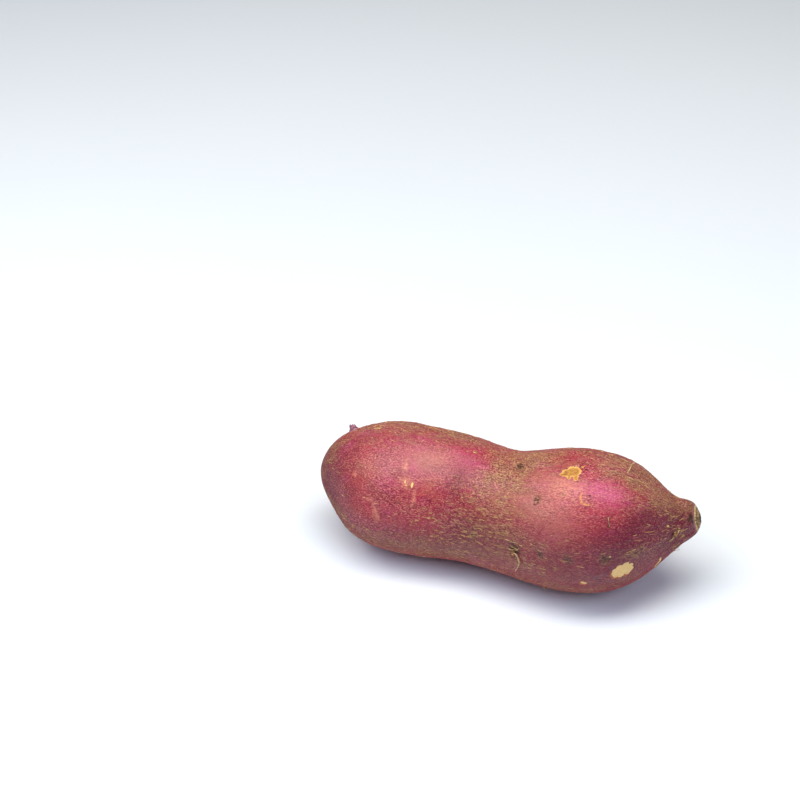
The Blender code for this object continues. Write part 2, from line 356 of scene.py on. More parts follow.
# Rootlets: radius in millimetres, then points given by distance along, angle and height over the skin
ROOTLETS = (
    (
        0.34,
        (91.6, 2.0, 0.2),
        (93.2, 2.6, 0.7),
        (94.3, -0.6, 0.8),
        (94.8, -4.8, 0.9),
        (94.1, -10.0, 0.7),
        (92.9, -16.5, 0.5),
    ),
    (0.2, (93.8, 6.0, -0.3), (93.2, 8.2, 0.5), (92.4, 9.4, 0.7), (91.4, 9.0, 0.3)),
    (0.2, (93.2, 5.2, -0.3), (93.9, 7.4, 0.6), (94.6, 9.6, 0.4)),
    (0.17, (92.8, 6.4, -0.2), (91.2, 5.6, 0.5), (89.8, 6.8, 0.2)),
    (0.16, (88.8, 15.8, 0.0), (90.4, 15.4, 0.22), (92.2, 14.6, 0.2), (93.8, 14.2, 0.0)),
    (0.3, (152.2, 12.5, -0.2), (152.7, 16.0, 0.7), (153.4, 20.0, 0.5)),
    (0.16, (151.4, 12.0, 0.0), (150.6, 7.5, 0.4), (149.8, 3.0, 0.2)),
    (0.13, (151.7, 12.0, 0.0), (150.2, 9.0, 0.5), (148.9, 7.0, 0.3)),
    (0.12, (154.2, 14.0, 0.0), (156.2, 15.0, 0.25), (158.0, 15.0, 0.1)),
    (0.14, (134.2, 86.0, 0.0), (136.2, 83.5, 0.3), (138.4, 83.0, 0.1)),
    (0.13, (151.0, -36.0, -0.1), (151.8, -38.0, 0.6), (152.8, -39.0, 1.3)),
    (0.12, (66.0, 93.0, 0.0), (67.2, 92.0, 0.3), (68.6, 90.6, 0.1)),
    (0.15, (117.0, 93.0, 0.0), (118.0, 91.5, 0.3), (119.0, 91.0, 0.0)),
    (0.13, (126.4, 45.0, 0.0), (126.6, 41.0, 0.2), (126.8, 37.0, 0.0)),
)
# The small stick near the neck, given in the same way
STICK = (
    0.32,
    (133.8, 90.0, -0.3),
    (133.9, 91.6, 0.7),
    (134.2, 94.2, 1.6),
    (134.6, 96.6, 2.5),
    (135.4, 98.4, 3.1),
)
SKIN_FIBRES = 900  # short fibres that lie on the skin, most of them where it is fibrous or russet
# Fibrous patches: distance along, angle, half length, half width and strength
FIBROUS = (
    (62, 12, 16, 9, 1.0),
    (80, 14, 14, 12, 0.9),
    (74, 40, 12, 9, 0.8),
    (88, 90, 14, 10, 0.7),
    (30, 108, 24, 9, 0.7),
    (146, 80, 14, 12, 0.9),
    (151, 15, 8, 10, 0.7),
    (136, 12, 7, 4, 0.7),
    (104, 0, 10, 12, 0.4),
)
RUSSET_FIBRES = 0.5  # how fibrous a fully russet patch is
FIBRE_SHARE = (0.02, 0.95)  # how many fibres stay: on plain skin, and how many more where it is fibrous
FIBRE_CLEARANCE = 1.4  # how far fibres stay from the middle of a scar, against its size
FIBRE_ALONG = (6.0, 156.0)
FIBRE_LIMIT = 160.5
FIBRE_LENGTHS = (1.0, 5.0, 1.8)  # shortest, longest and most usual
FIBRE_RADII = (0.08, 0.15)
FIBRE_LEAN = 0.25
FIBRE_BEND = 0.35
FIBRE_HEIGHT = 0.05  # over the skin at its middle, and how far its ends sink below that
FIBRE_SINK = 0.8
FIBRE_POINTS = 7
FIBRE_SIDES = 5

CUT_FIBRES = 26  # fibres that stick out round the cut
CUT_FIBRE_INSET = 0.6 * MM
CUT_FIBRE_WAYS = ((0.4, 1.0), (-0.1, 0.5), (-0.5, 0.5))  # how far they point ahead, outwards and aside
CUT_FIBRE_LENGTHS = (0.9, 2.0)
CUT_FIBRE_RADII = (0.07, 0.14)
CRUMBS = 110  # crumbs of dry skin and soil, in and near the eyes
CRUMB_SIZES = (0.12, 0.34)
CRUMB_SPREAD = (1.6, 3.4)  # along in millimetres and round in degrees
SEED = 12

# The patches, by the names that the materials read
PATCHES = {
    "russet": RUSSET,
    "fibrous": FIBROUS,
    "crimson": CRIMSON,
    "magenta_and_highlight": MAGENTA_AND_HIGHLIGHT_PATCHES,
    "purple": PURPLE,
    "tawny_and_highlight": TAWNY_AND_HIGHLIGHT_PATCHES,
    "dusk_and_painted_shade": DUSKY_AND_SHADE_PATCHES,
}

# The mesh of the skin, under 200,000 triangles in all
RINGS_IN_CAP = 64
RINGS_ON_BODY = 252
RINGS_AT_CUT = 10
AROUND = 288

# Camera, from the photograph's outline: view centre at the middle of the picture
AZIMUTH = math.radians(14.0)
ELEVATION = math.radians(38.0)
LENS = 80.0
SENSOR = 36.0
DISTANCE = 0.747
ANCHOR = Vector((2.7 * MM, 1.0 * MM, 28.0 * MM))
ANCHOR_PIXEL = (510.0, 507.0)
PICTURE = 800.0

# Lights in metres and watts: place, size, power and colour
OVERHEAD = ((-0.12, -0.04, 1.0), (0.5, 1.4), 13.4, (1.0, 0.97, 0.92))
FILL_PLACES = ((0.56, -0.44, 0.74), (-0.56, -0.44, 0.74))
FILL = ((0.7, 0.5), 3.6, (0.7, 0.8, 1.0))
SKY_COLOUR = (0.7, 0.85, 1.0, 1.0)
SKY_STRENGTH = 0.03
FLOOR_SIZE = 4.0
FLOOR_DROP = 0.02 * MM  # keeps the floor just under what rests on it
FLOOR_BLOTCHES = 3.0  # to a metre


def natural_spline(values, at):
    """Values at 0, 1, 2 and so on, read anywhere between through a natural cubic spline."""
    count = len(values)
    system = np.zeros((count, count))
    right = np.zeros_like(values)
    system[0, 0] = system[-1, -1] = 1.0
    for i in range(1, count - 1):
        system[i, i - 1 : i + 2] = 1.0, 4.0, 1.0
        right[i] = 6.0 * (values[i - 1] - 2.0 * values[i] + values[i + 1])
    bend = np.linalg.solve(system, right)
    low = np.clip(at.astype(int), 0, count - 2)
    b = (at - low)[:, None]
    a = 1.0 - b
    curved = ((a**3 - a) * bend[low] + (b**3 - b) * bend[low + 1]) / 6.0
    return a * values[low] + b * values[low + 1] + curved


class Spine:
    """The line through the sections' centres, read by distance along it in metres."""

    STEPS = 600

    def __init__(self, sections):
        at = np.linspace(0.0, len(sections) - 1.0, self.STEPS)
        self.rows = natural_spline(np.array(sections) * MM, at)
        steps = np.linalg.norm(np.diff(self.rows[:, :3], axis=0), axis=1)
        self.along = np.concatenate([[0.0], np.cumsum(steps)])
        self.length = self.along[-1]
        self.tangents = np.gradient(self.rows[:, :3], self.along, axis=0)

    def read(self, table, along):
        return np.stack([np.interp(along, self.along, column) for column in table.T], axis=-1)

    def frame(self, along):
        """Centre, tangent, front and up vectors, and half width and half height, at these distances."""
        row = self.read(self.rows, along)
        tangent = unit(self.read(self.tangents, along))
        front = unit(np.cross(tangent, [0.0, 0.0, 1.0]))
        up = np.cross(front, tangent)
        return row[..., :3], tangent, front, up, row[..., 3], row[..., 4]


def unit(vectors):
    return vectors / np.linalg.norm(vectors, axis=-1, keepdims=True)


def smooth_step(start, end, value):
    share = np.clip((value - start) / (end - start), 0.0, 1.0)
    return share * share * (3.0 - 2.0 * share)


def noise_over(points, size, offset):
    """Smooth noise between about -1 and 1 whose lumps have this size."""
    flat = points.reshape(-1, 3) / size + offset
    return np.array([noise.noise(Vector(point)) for point in flat]).reshape(points.shape[:-1])


def rounding(along):
    """The share of a section's size left at this distance from the root end."""
    inward = np.clip(1.0 - along / ROOT_CAP, 0.0, 1.0)
    return (1.0 - inward**CAP_POWER) ** (1.0 / CAP_POWER)


def apart(along, angle, radius, place):
    """Distances along and round the skin from a place given in millimetres and degrees."""
    turn = (angle - math.radians(place[1]) + math.pi) % (2.0 * math.pi) - math.pi
    return along - place[0] * MM, radius * turn


def away(along, angle, radius, place):
    """Distance from an ellipse's middle: 1 at its edge."""
    ahead, aside = apart(along, angle, radius, place)
    return np.hypot(ahead / place[2], aside / place[3]) / MM


def union(along, angle, radius, ellipses):
    """The same distance for several ellipses joined."""
    nearest = np.full(along.shape, FAR_OUTSIDE)
    for place in ellipses:
        nearest = np.minimum(nearest, away(along, angle, radius, place))
    return nearest


def patches(along, angle, radius, places):
    """The summed strength of soft patches, at most 1."""
    total = np.zeros(along.shape)
    for place in places:
        total = total + place[4] * np.exp(-(away(along, angle, radius, place) ** 2))
    return np.clip(total, 0.0, 1.0)


def low_relief(points, along, angle, radius, length):
    """The relief that the solid has too, apart from its scars."""
    height = LUMP_HEIGHT * noise_over(points, LUMP_SIZE, LUMP_SEED)
    wander = noise_over(points, LUMP_SIZE, WANDER_SEED)
    height -= RIB_HEIGHT * np.cos(RIBS * (angle - RIB_START) + wander)
    gathered = smooth_step(*FURROW_START, along)
    gathered *= 1.0 - (1.0 - FURROW_END_SHARE) * smooth_step(length - CUT_REACH, length, along)
    height -= FURROW_DEPTH * gathered * np.cos(FURROWS * angle + FURROW_WANDER * wander)
    for place in EYES:
        size = place[2] * MM
        depth = place[3] * MM
        ahead, aside = apart(along, angle, radius, place)
        height -= depth * np.exp(-(ahead**2 + aside**2) / size**2)
        brow = np.exp(-((ahead - size) ** 2 + (aside / BROW_WIDTH) ** 2) / (0.5 * size) ** 2)
        height += BROW_SHARE * depth * brow
    behind_cut, reach, swelling = COLLAR
    height += swelling * np.exp(-(((length - along - behind_cut) / reach) ** 2))
    rounded_over, rounded_by = CUT_ROUND
    share = np.clip(1.0 - (length - along) / rounded_over, 0.0, 1.0)
    height -= rounded_by * (1.0 - np.sqrt(1.0 - share**2))
    return height


def straightened(along, angle, radius):
    """The skin as if the spine were straight, in millimetres, so that a pattern has no seam."""
    return np.stack([along, radius * np.cos(angle), radius * np.sin(angle)], axis=-1) / MM


def fine_relief(flow, strokes, along, ragged, fields):
    """Pebbling all over, wrinkles that tighten towards both ends, and the edges of scars and dark marks."""
    pebbles = noise_over(flow, *PEBBLES)
    dents = noise_over(flow, *DENTS)
    wrinkles = noise_over(strokes / WRINKLE_STRETCH, *WRINKLES)
    tight = smooth_step(*TIGHT_AT_NECK, along) + ROOT_TIGHTNESS * smooth_step(*TIGHT_AT_ROOT, along)
    wrinkle_height = WRINKLE_HEIGHT + TIGHT_WRINKLE_HEIGHT * tight
    height = (PEBBLE_HEIGHT * pebbles + DENT_HEIGHT * dents + wrinkle_height * wrinkles) * MM
    height *= smooth_step(0.0, SMOOTH_TIP, along)
    height -= SCAR_DEPTH * smooth_step(1.1, 0.95, np.minimum(fields["gold"], fields["cream"]))
    height -= DARK_MARK_DEPTH * smooth_step(1.3, 0.4, fields["dark"] + 0.2 * ragged)
    height += FLECK_HEIGHT * smooth_step(1.2, 0.7, fields["fleck"])
    return height


def hidden_marks(chance):
    """Small marks scattered on the sides that the photograph hides."""
    marks = []
    for _ in range(HIDDEN_MARKS):
        limits = (HIDDEN_ALONG, HIDDEN_ANGLES, HIDDEN_LENGTHS, HIDDEN_WIDTHS)
        marks.append(tuple(chance.uniform(low, high) for low, high in limits))
    return marks


def mark_fields(along, angle, radius, ragged):
    """Where the scars and marks are: each field is 0 at a mark's middle and 1 at its edge."""
    hidden = hidden_marks(random.Random(HIDDEN_SEED))
    half = len(hidden) // 2
    edge = SCAR_RAGGED * ragged
    here = (along, angle, radius)
    ring = np.abs(away(*here, RING_SCAR) - RING_LINE[0]) / RING_LINE[1]
    ring = ring + 4.0 * smooth_step(1.15, 0.9, away(*here, RING_SCAR_OPEN))
    lower = [(place[0] - RIM_SHIFT[0], place[1] - RIM_SHIFT[1], *place[2:]) for place in CREAM_SCAR]
    return {
        "gold": union(*here, GOLD_SCAR) + edge,
        "cream": union(*here, CREAM_SCAR) + edge,
        "cream_rim_shade": union(*here, lower) + edge,
        "ring": np.minimum(ring, FAR_OUTSIDE) + 3.0 * edge,
        "fleck": union(*here, (*FLECKS, *hidden[:half])) + 2.0 * edge,
        "dark": union(*here, (*DARK_MARKS, *hidden[half:])) + 2.0 * edge,
        "graze": union(*here, GRAZES) + 3.0 * edge,
        "bruise": union(*here, BRUISES) + 2.0 * edge,
    }


def eye_field(along, angle, radius):
    """1 at the middle of a deep eye, a little wider across than along."""
    total = np.zeros(along.shape)
    deepest = max(place[3] for place in EYES)
    for place in EYES:
        ellipse = (place[0], place[1], 0.55 * place[2], 0.75 * place[2])
        strength = 0.5 + 0.5 * place[3] / deepest
        total = np.maximum(total, strength * np.exp(-(away(along, angle, radius, ellipse) ** 2)))
    return total


def skin(spine, along, angle, detailed=True):
    """Points of the skin at these distances and angles, with the fields that its material reads."""
    centre, tangent, front, up, half_width, half_height = spine.frame(along)
    cap = rounding(along)
    out = front * np.cos(angle)[..., None] + up * np.sin(angle)[..., None]
    across = half_width * cap * np.cos(angle)
    high = half_height * cap * np.sin(angle)
    plain = centre + front * across[..., None] + up * high[..., None]
    radius = 0.5 * (half_width + half_height) * cap
    height = cap * low_relief(plain, along, angle, radius, spine.length)
    fields = {}
    if detailed:
        flow = straightened(along, angle, radius)
        stroke_radius = STROKE_RADIUS * (np.maximum(radius, 1e-6) / STROKE_RADIUS) ** STROKE_POWER
        strokes = straightened(along, angle, stroke_radius)
        ragged = noise_over(flow, 1.1, 2.0) + 0.6 * noise_over(flow, 0.6, 9.0)
        fields = mark_fields(along, angle, radius, ragged)
        height += cap * fine_relief(flow, strokes, along, ragged, fields)
        fields["flow"] = flow
        fields["strokes"] = strokes
        for name, places in PATCHES.items():
            fields[name] = patches(along, angle, radius, places)
        fields["eye"] = eye_field(along, angle, radius)
        fields["edge"] = smooth_step(spine.length - CUT_EDGE, spine.length, along + 0.2 * MM * ragged)
    near_cut = smooth_step(spine.length - CUT_REACH, spine.length, along)
    lean = near_cut * (CUT_RISE * high + CUT_FRONT * across)
    points = plain + out * height[..., None] + tangent * lean[..., None]
    points[..., 2] = np.maximum(points[..., 2], 0.0)
    return points, fields


def skin_frame(spine, along, angle):
    """A point of the skin with its normal, the way to the neck and the way round."""
    step = 0.5 * MM
    turn = math.radians(1.0)
    here = np.array([along, along + step, along])
    there = np.array([angle, angle, angle + turn])
    point, ahead, aside = skin(spine, here, there, detailed=False)[0]
    ahead = unit(ahead - point)
    aside = unit(aside - point)
    return point, unit(np.cross(ahead, aside)), ahead, aside


def over_skin(spine, along, angle, height):
    """A point over the skin, from a place in millimetres and degrees and a height in millimetres."""
    point, normal, _, _ = skin_frame(spine, along * MM, math.radians(angle))
    return point + normal * height * MM


def ring_distances(spine):
    """Where the rings lie along the spine, closest together at the rounded root end and at the cut."""
    turn = np.linspace(0.0, math.pi / 2.0, RINGS_IN_CAP + 1)
    cap = ROOT_CAP * (1.0 - np.cos(turn))
    neck_end = spine.length - CUT_ROUND[0]
    body = np.linspace(ROOT_CAP, neck_end, RINGS_ON_BODY + 1)
    turn = np.linspace(0.0, math.pi / 2.0, RINGS_AT_CUT + 1)
    rim = neck_end + CUT_ROUND[0] * np.sin(turn)
    return np.concatenate([cap[1:], body[1:], rim[1:]])


def cut_face_points(spine, rim):
    """Rings inside the rim of the cut, and the point at its middle."""
    middle = rim.mean(axis=0)
    tangent = spine.frame(spine.length)[1]
    uneven = CUT_UNEVEN * noise_over(rim, 1.1 * MM, 4.0)[:, None]
    rings = []
    for share, height in CUT_FACE:
        rise = height * MM + (1.0 - abs(2.0 * share - 1.0)) * uneven
        rings.append(middle + share * (rim - middle) + tangent * rise)
    return rings, middle + tangent * CUT_MIDDLE


def set_attribute(mesh, name, values):
    kind = "FLOAT_VECTOR" if values.ndim == 2 else "FLOAT"
    attribute = mesh.attributes.new(name, kind, "POINT")
    attribute.data.foreach_set("vector" if values.ndim == 2 else "value", values.astype(np.float32).ravel())


def add_fields(mesh, fields, rows, on_skin):
    """Copy each field to the mesh. The cut face repeats the skin's last point."""
    for name, values in fields.items():
        flat = values.reshape(on_skin, -1)
        whole = np.concatenate([flat, np.repeat(flat[-1:], rows - on_skin, axis=0)])
        set_attribute(mesh, name, whole if whole.shape[1] == 3 else whole[:, 0])


def skin_piece(spine, materials):
    """The closed skin with its cut face, lofted in rings from the root end to the middle of the cut."""
    angles = np.arange(AROUND) * (2.0 * math.pi / AROUND)
    along, angle = np.meshgrid(ring_distances(spine), angles, indexing="ij")
    points, fields = skin(spine, along, angle)
    cut_rings, cut_middle = cut_face_points(spine, points[-1])
    tip = skin(spine, np.zeros(1), np.zeros(1))[0][0]
    rows = np.concatenate([points.reshape(-1, 3), np.concatenate(cut_rings), [tip], [cut_middle]])
    count = len(points) + len(cut_rings)
    first = count * AROUND
    last = first + 1
    faces = []
    slots = []
    for i in range(AROUND):
        j = (i + 1) % AROUND
        faces.append((first, j, i))
        slots.append(0)
        for k in range(count - 1):
            a = k * AROUND
            b = a + AROUND
            faces.append((a + i, a + j, b + j, b + i))
            slots.append(0 if k < len(points) - 1 else 1)
        a = (count - 1) * AROUND
        faces.append((a + i, a + j, last))
        slots.append(1)
    mesh = bpy.data.meshes.new("skin")
    mesh.from_pydata(rows.tolist(), [], faces)
    mesh.polygons.foreach_set("material_index", slots)
    mesh.update()
    add_fields(mesh, fields, len(rows), along.size)
    inward = np.zeros(len(rows))
    inward[along.size : first] = np.repeat([1.0 - share for share, height in CUT_FACE], AROUND)
    inward[last] = 1.0
    set_attribute(mesh, "inward", inward)
    turn = np.zeros((len(rows), 3))
    turn[:first, 0] = np.tile(np.cos(angles), count)
    turn[:first, 1] = np.tile(np.sin(angles), count)
    set_attribute(mesh, "turn", turn)
    for material in materials:
        mesh.materials.append(material)
    mesh.shade_smooth()
    return bpy.data.objects.new("skin", mesh)


def tube(points, radii, sides=7):
    """A closed tube through these points: its vertices, and faces that name them."""
    points = np.array(points)
    tangents = unit(np.gradient(points, axis=0))
    side = np.cross(tangents[0], [0.3, 0.5, 0.8])
    turn = np.arange(sides) * (2.0 * math.pi / sides)
    rows = []
    for point, tangent, radius in zip(points, tangents, radii):
        side = unit(side - tangent * (side @ tangent))
        other = np.cross(tangent, side)
        rows.extend(point + radius * (math.cos(a) * side + math.sin(a) * other) for a in turn)
    faces = [tuple(reversed(range(sides)))]
    for k in range(len(points) - 1):
        for i in range(sides):
            j = (i + 1) % sides
            faces.append((k * sides + i, k * sides + j, (k + 1) * sides + j, (k + 1) * sides + i))
    faces.append(tuple(range((len(points) - 1) * sides, len(points) * sides)))
    return rows, faces


def joined(name, shapes, material):
    """One smooth object from several shapes' vertices and faces."""
    rows = []
    faces = []
    for shape_rows, shape_faces in shapes:
        start = len(rows)
        rows.extend(tuple(row) for row in shape_rows)
        faces.extend(tuple(start + i for i in face) for face in shape_faces)
    mesh = bpy.data.meshes.new(name)
    mesh.from_pydata(rows, [], faces)
    mesh.materials.append(material)
    mesh.shade_smooth()
    return link(bpy.data.objects.new(name, mesh))


def curve_through(points, count):
    return natural_spline(np.array(points), np.linspace(0.0, len(points) - 1.0, count))


def rootlet(spine, row):
    radius, *places = row
    points = curve_through([over_skin(spine, *place) for place in places], 6 * len(places))
    share = np.linspace(0.0, 1.0, len(points))
    radii = radius * MM * (1.0 - 0.35 * share) * (1.0 + 0.18 * np.sin(9.0 * share + places[0][0]))
    return tube(points, radii)


def skin_fibre(spine, chance):
    """A fibre that lies on the skin along its length, or nothing where the skin has few."""
    along = chance.uniform(*FIBRE_ALONG)
    angle = chance.uniform(0.0, 360.0)
    *_, half_width, half_height = spine.frame(along * MM)
    radius = 0.5 * (half_width + half_height) * rounding(along * MM)
    place = (np.array([along * MM]), np.array([math.radians(angle)]), np.array([radius]))
    fibrous = max(patches(*place, FIBROUS)[0], RUSSET_FIBRES * patches(*place, RUSSET)[0])
    density = FIBRE_SHARE[0] + FIBRE_SHARE[1] * fibrous
    length = chance.triangular(*FIBRE_LENGTHS)
    bend = chance.uniform(-1.0, 1.0)
    lean = chance.gauss(0.0, FIBRE_LEAN)
    thickness = chance.uniform(*FIBRE_RADII)
    if chance.random() > density:
        return None
    if union(*place, (*GOLD_SCAR, *CREAM_SCAR))[0] < FIBRE_CLEARANCE:
        return None
    points = []
    for share in (-0.5, -0.2, 0.15, 0.5):
        aside = lean * share * length + bend * FIBRE_BEND * (0.25 - share**2)
        turned = angle + math.degrees(aside * MM / radius)
        height = FIBRE_HEIGHT - FIBRE_SINK * share**2
        points.append(over_skin(spine, min(along + share * length, FIBRE_LIMIT), turned, height))
    points = curve_through(points, FIBRE_POINTS)
    radii = thickness * MM * (1.05 - np.linspace(-1.0, 1.0, FIBRE_POINTS) ** 2 * 0.6)
    return tube(points, radii, FIBRE_SIDES)


def broken_root(spine, root, chance, sides=12):
    """A broken root that flares where it leaves the skin and ends in an uneven break."""
    along, angle, radius, length, to_neck, to_side = root
    point, normal, ahead, aside = skin_frame(spine, along * MM, math.radians(angle))
    way = unit(normal + to_neck * ahead + to_side * aside)
    share = np.linspace(0.0, 1.0, 12)
    distance = -0.6 * ROOT_SUNK + share * (0.6 * ROOT_SUNK + length * MM)
    sag = 0.12 * length * MM * share**2
    points = point + distance[:, None] * way + sag[:, None] * unit(np.cross(way, normal + 0.01))
    outside = np.clip(distance / (length * MM), 0.0, 1.0)
    radii = radius * MM * (1.35 - 0.65 * outside**0.6 + 0.05 * np.sin(17.0 * share + along))
    rows, faces = tube(points, radii, sides)
    rows = [np.array(row) for row in rows]
    tip = len(rows) - sides
    for i in range(tip, len(rows)):
        rows[i] = rows[i] + way * radius * MM * chance.uniform(-0.5, 0.35)
    inner = [rows[i] * 0.45 + points[-1] * 0.55 - way * 0.5 * radius * MM for i in range(tip, tip + sides)]
    faces.pop()
    for i in range(sides):
        j = (i + 1) % sides
        faces.append((tip + i, tip + j, tip + sides + j, tip + sides + i))
    faces.append(tuple(range(tip + sides, tip + 2 * sides)))
    return rows + inner, faces


def cut_fibre(spine, chance):
    """A fibre that sticks out of the cut's rim."""
    angle = chance.uniform(0.0, 360.0)
    point, normal, ahead, aside = skin_frame(spine, spine.length - CUT_FIBRE_INSET, math.radians(angle))
    onward, outward, sideways = (chance.uniform(low, high) for low, high in CUT_FIBRE_WAYS)
    way = unit(ahead * onward + normal * outward + aside * sideways)
    bend = aside * chance.uniform(-0.4, 0.4)
    length = chance.uniform(*CUT_FIBRE_LENGTHS) * MM
    share = np.linspace(0.0, 1.0, FIBRE_POINTS)[:, None]
    points = point - normal * 0.25 * MM + way * share * length + bend * share**2 * length
    radii = chance.uniform(*CUT_FIBRE_RADII) * MM * (1.0 - 0.5 * share[:, 0])
    return tube(points, radii, FIBRE_SIDES)


def crumb(spine, chance):
    """A crumb of dry skin or soil, half sunk beside an eye."""
    eye = chance.choice(EYES)
    along = eye[0] + chance.gauss(0.0, CRUMB_SPREAD[0])
    angle = eye[1] + chance.gauss(0.0, CRUMB_SPREAD[1])
    point, normal, _, _ = skin_frame(spine, min(along, 160.0) * MM, math.radians(angle))
    size = chance.uniform(*CRUMB_SIZES) * MM
    bm = bmesh.new()
    bmesh.ops.create_icosphere(bm, subdivisions=1, radius=size)
    stretch = [chance.uniform(0.5, 1.4) for _ in range(3)]
    rows = []
    for vert in bm.verts:
        swell = chance.uniform(0.75, 1.2)
        corner = np.array([vert.co[i] * stretch[i] * swell for i in range(3)])
        rows.append(point + corner - normal * 0.25 * size)
    faces = [tuple(vert.index for vert in face.verts) for face in bm.faces]
    bm.free()
    return rows, faces


class Nodes:
    """Shorthand for a material's nodes. Any input may be a socket, a number or a colour."""

    def __init__(self, name):
        self.material = bpy.data.materials.new(name)
        self.material.use_nodes = True
        self.tree = self.material.node_tree
        self.shader = self.tree.nodes["Principled BSDF"]

    def add(self, kind, inputs=(), **settings):
        node = self.tree.nodes.new("ShaderNode" + kind)
        for name, value in settings.items():
            setattr(node, name, value)
        for key, value in dict(inputs).items():
            self.put(node.inputs[key], value)
        return node

    def put(self, socket, value):
        if isinstance(value, bpy.types.NodeSocket):
            self.tree.links.new(value, socket)
        else:
            socket.default_value = value

    def attribute(self, name, output="Fac"):
        return self.add("Attribute", attribute_name=name).outputs[output]

    def math(self, operation, a, b=0.0, clamp=False):
        return self.add("Math", {0: a, 1: b}, operation=operation, use_clamp=clamp).outputs[0]

    def times(self, *values):
        return reduce(lambda a, b: self.math("MULTIPLY", a, b), values)

    def plus(self, *values):
        return reduce(lambda a, b: self.math("ADD", a, b), values)

    def vector(self, operation, a, b):
        return self.add("VectorMath", {0: a, 1: b}, operation=operation).outputs[0]

    def scaled(self, coordinates, along, across, shift=0.0):
        """Coordinates where one unit is this many millimetres along and across."""
        shifted = self.vector("ADD", coordinates, (shift, shift * 0.7, shift * 1.3))
        return self.vector("DIVIDE", shifted, (along, across, across))

    def noise(self, coordinates, detail=2.0, roughness=0.5, output="Fac"):
        inputs = {"Vector": coordinates, "Scale": 1.0, "Detail": detail, "Roughness": roughness}
        return self.add("TexNoise", inputs).outputs[output]

    def pattern(self, coordinates, sizes, detail=2.0, roughness=0.5):
        """Noise of these sizes along and across."""
        return self.noise(self.scaled(coordinates, *sizes), detail, roughness)

    def wander(self, coordinates, size, across, reach):
        """The same coordinates, moved about by up to half this reach in millimetres."""
        noise_colour = self.noise(self.scaled(coordinates, size, across), output="Color")
        shift = self.vector("SUBTRACT", noise_colour, (0.5,) * 3)
        return self.vector("ADD", coordinates, self.vector("MULTIPLY", shift, (reach,) * 3))

    def cells(self, coordinates):
        return self.add("TexVoronoi", {"Vector": coordinates, "Scale": 1.0}).outputs["Distance"]

    def place(self):
        """The place of what is shaded, in millimetres."""
        metres = self.add("NewGeometry").outputs["Position"]
        return self.vector("MULTIPLY", metres, (1.0 / MM,) * 3)

    def ramp(self, value, low, high, to_low=0.0, to_high=1.0):
        inputs = {"Value": value, "From Min": low, "From Max": high, "To Min": to_low, "To Max": to_high}
        return self.add("MapRange", inputs, interpolation_type="SMOOTHSTEP").outputs[0]

    def mix(self, share, a, b):
        return self.add("Mix", {0: share, 6: a, 7: b}, data_type="RGBA").outputs[2]

    def blend(self, share, a, b):
        return self.add("Mix", {0: share, 2: a, 3: b}, data_type="FLOAT").outputs[0]

    def lines(self, coordinates, width):
        """Thin wavy lines, where noise passes its middle value."""
        middle = self.math("ABSOLUTE", self.math("SUBTRACT", self.noise(coordinates, detail=1.0), 0.5))
        return self.ramp(middle, width, 0.2 * width)

    def bump(self, height):
        """Use a height in millimetres."""
        bumped = self.add("Bump", {"Height": height, "Distance": MM}).outputs[0]
        self.put(self.shader.inputs["Normal"], bumped)

    def finish(self, colour, roughness):
        self.put(self.shader.inputs["Base Color"], colour)
        self.put(self.shader.inputs["Roughness"], roughness)
        return self.material


def srgb(red, green, blue):
    """A colour given as on the screen, from 0 to 255, for a shader."""
    parts = [c / 255.0 for c in (red, green, blue)]
    return (*[c / 12.92 if c <= 0.04045 else ((c + 0.055) / 1.055) ** 2.4 for c in parts], 1.0)


ROSE = srgb(165, 56, 78)
CRIMSON_RED = srgb(168, 36, 54)
ORANGE_RED = srgb(182, 90, 70)
# Pale tawny pink, partly painted highlight
TAWNY_PINK_AND_HIGHLIGHT = srgb(190, 120, 106)
# Dark tone of the random shading noise and of the painted shade in the dusky patches
DUSK_AND_PAINTED_SHADE = srgb(106, 22, 32)
DEEP_PURPLE = srgb(96, 26, 50)
# Magenta of the skin, also painted highlight where the magenta patches lie on the lobes' lit tops
MAGENTA_AND_HIGHLIGHT = srgb(212, 84, 134)
PINK = srgb(228, 142, 130)
MAROON = srgb(92, 14, 38)
RUSSET_BROWN = srgb(126, 76, 60)
RUSSET_OLIVE = srgb(154, 112, 80)
RUSSET_DARK = srgb(84, 36, 40)
TAN = srgb(224, 176, 126)
DULL_ROSE = srgb(190, 94, 92)
DULL_TAN = srgb(190, 132, 92)
FIBRE_TAN = srgb(206, 166, 104)
DARK_PIT = srgb(62, 38, 26)
GOLD = srgb(226, 160, 74)
GOLD_BROWN = srgb(154, 98, 38)
PALE_GOLD = srgb(244, 206, 124)
CREAM = srgb(236, 202, 140)
# Orange rim of the cream scars, painted shade of their sunken edge
ORANGE_RIM_SHADE = srgb(180, 88, 40)
GRAZE = srgb(222, 138, 112)
RING_BROWN = srgb(216, 142, 76)
BRUISE = srgb(104, 62, 80)
LILAC = srgb(166, 118, 120)
CUT_BROWN = srgb(120, 84, 56)
CUT_TAN = srgb(206, 170, 118)
CUT_SPECK = srgb(100, 66, 44)
VESSELS = srgb(96, 66, 42)
PITH = srgb(52, 34, 24)

# Dark and pale colours of the loose pieces and of the floor
BARK = (srgb(96, 58, 40), srgb(176, 124, 84))
STRAW = (srgb(150, 116, 70), srgb(206, 178, 128))
DIRT = (srgb(66, 44, 30), srgb(140, 112, 72))
NUB = (srgb(58, 26, 32), srgb(180, 118, 134))
THREAD = (srgb(158, 104, 72), srgb(212, 172, 112))
FLOOR = (srgb(236, 242, 246), srgb(241, 246, 249))

